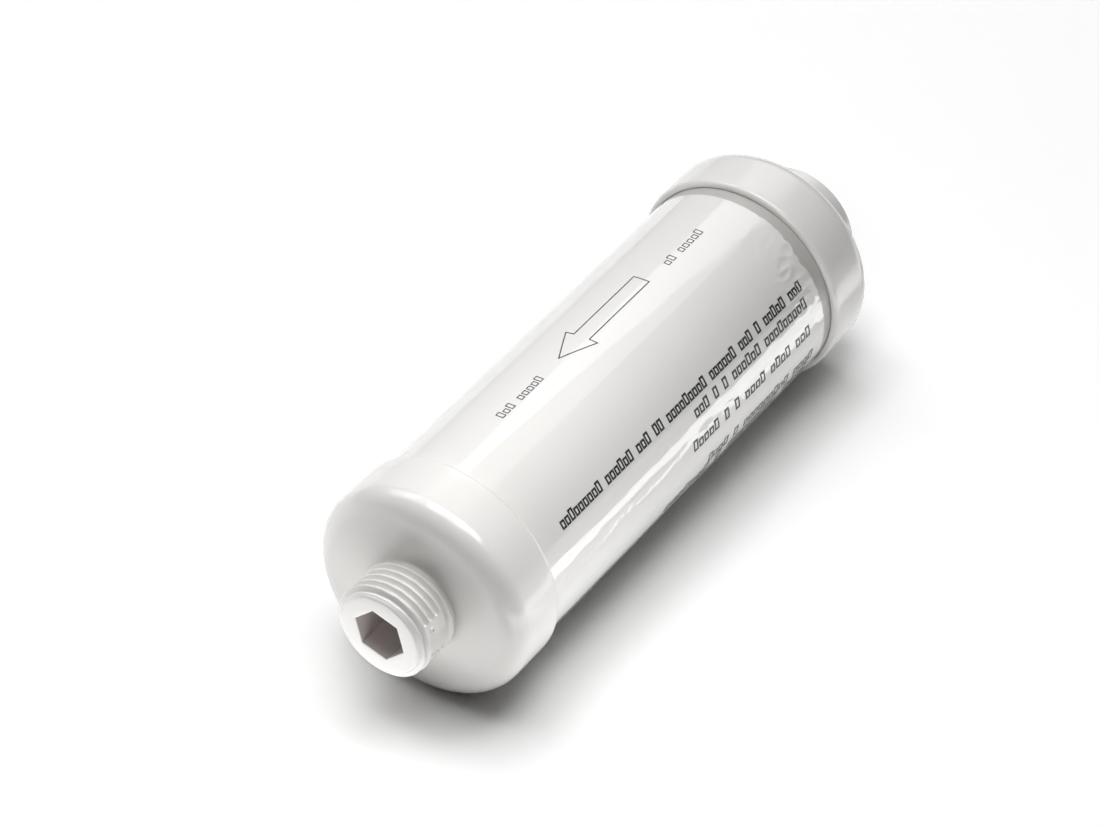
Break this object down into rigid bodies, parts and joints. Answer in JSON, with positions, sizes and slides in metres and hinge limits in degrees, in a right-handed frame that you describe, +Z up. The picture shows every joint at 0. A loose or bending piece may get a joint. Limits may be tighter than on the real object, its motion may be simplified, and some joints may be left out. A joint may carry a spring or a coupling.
{
  "type": "inline water filter cartridge",
  "caption": "White cylindrical inline water filter cartridge with screwed end caps, a male pipe-thread spigot with hex socket at its outlet, a female socket at its inlet and layered media inside.",
  "frame": {"origin": "on the surface that the cartridge lies on, below the middle of its length", "axes": "+X along the tube from outlet to inlet, +Z up"},
  "size_m": [0.1536, 0.048, 0.048],
  "materials": {
    "cap_plastic": "satin gloss moulded white",
    "tube_plastic": "glossy extruded off-white, slightly translucent",
    "label_film": "glossy white printed film",
    "seal_rubber": "matte black",
    "plate_plastic": "matte moulded white",
    "screen_steel": "fine woven wire",
    "pad_fibre": "white non-woven fibre",
    "felt": "thin white felt",
    "carbon_granules": "black granules",
    "sulphite_granules": "off-white beads",
    "copper_zinc_granules": "brassy granules"
  },
  "bodies": {
    "housing": {"body_tube": "tube_plastic", "label_film": "label_film", "outlet_plate": "plate_plastic", "inlet_plate": "plate_plastic", "outlet_screen": "screen_steel", "inlet_screen": "screen_steel", "outlet_pad": "pad_fibre", "inlet_pad": "pad_fibre", "outlet_felt": "felt", "inlet_felt": "felt", "carbon_bed": "carbon_granules", "sulphite_bed": "sulphite_granules", "copper_zinc_bed": "copper_zinc_granules"},
    "outlet_seal": {"outlet_seal_ring": "seal_rubber"},
    "outlet_cap": {"outlet_cap": "cap_plastic"},
    "inlet_seal": {"inlet_seal_ring": "seal_rubber"},
    "inlet_cap": {"inlet_cap": "cap_plastic", "inlet_washer": "seal_rubber"}
  },
  "joints": [
    {"name": "outlet_seal_slide", "type": "slide", "parent": "housing", "child": "outlet_seal", "axis": [-1, 0, 0], "range_m": [0, 0.008]},
    {"name": "outlet_cap_unscrew", "type": "hinge", "parent": "outlet_seal", "child": "outlet_cap", "pos_m": [-0.055, 0, 0.024], "axis": [-1, 0, 0], "range_deg": [0, 1440]},
    {"name": "inlet_seal_slide", "type": "slide", "parent": "housing", "child": "inlet_seal", "axis": [1, 0, 0], "range_m": [0, 0.008]},
    {"name": "inlet_cap_unscrew", "type": "hinge", "parent": "inlet_seal", "child": "inlet_cap", "pos_m": [0.055, 0, 0.024], "axis": [1, 0, 0], "range_deg": [0, 1440]}
  ],
  "couplings": [
    {"joint": "outlet_seal_slide", "follows": "outlet_cap_unscrew", "m_per_rad": 0.00031831},
    {"joint": "inlet_seal_slide", "follows": "inlet_cap_unscrew", "m_per_rad": 0.00031831}
  ]
}
